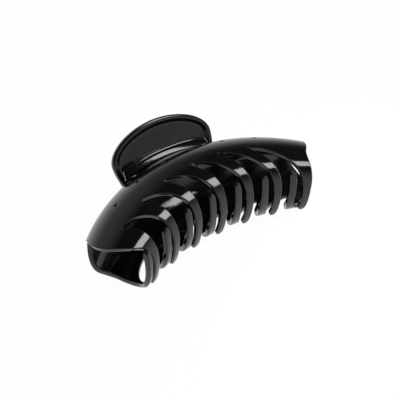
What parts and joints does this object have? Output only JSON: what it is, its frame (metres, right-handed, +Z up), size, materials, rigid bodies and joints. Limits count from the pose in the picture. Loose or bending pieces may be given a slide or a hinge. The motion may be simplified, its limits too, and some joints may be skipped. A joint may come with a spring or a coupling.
{
  "type": "claw hair clip",
  "caption": "Large sprung claw clip for hair: matching arched, swirl-toothed jaws with finger paddles, turning on a steel pin against a torsion spring.",
  "frame": {"origin": "under the middle of the clip, on the surface it lies on", "axes": "+X along the row of teeth, +Z up, +Y towards the hinge and the finger paddles, and -Y towards the tips of the teeth. The clip lies on its side, closed, on the lower jaw's belly and paddle."},
  "size_m": [0.1302, 0.0738, 0.0507],
  "materials": {
    "gloss_black_plastic": "glossy injection-moulded black plastic",
    "spring_steel": "bright drawn steel wire"
  },
  "bodies": {
    "lower_jaw": {"jaw_lower": "gloss_black_plastic", "hinge_pin": "spring_steel", "torsion_spring": "spring_steel"},
    "upper_jaw": {"jaw_upper": "gloss_black_plastic"}
  },
  "joints": [
    {"name": "jaw_hinge", "type": "hinge", "parent": "lower_jaw", "child": "upper_jaw", "pos_m": [0, 0.01931, 0.02416], "axis": [-1, 0, 0], "range_deg": [0, 85], "stiffness_Nm_per_rad": 0.12, "springref_deg": -28.65, "deforming": ["torsion_spring"]}
  ]
}
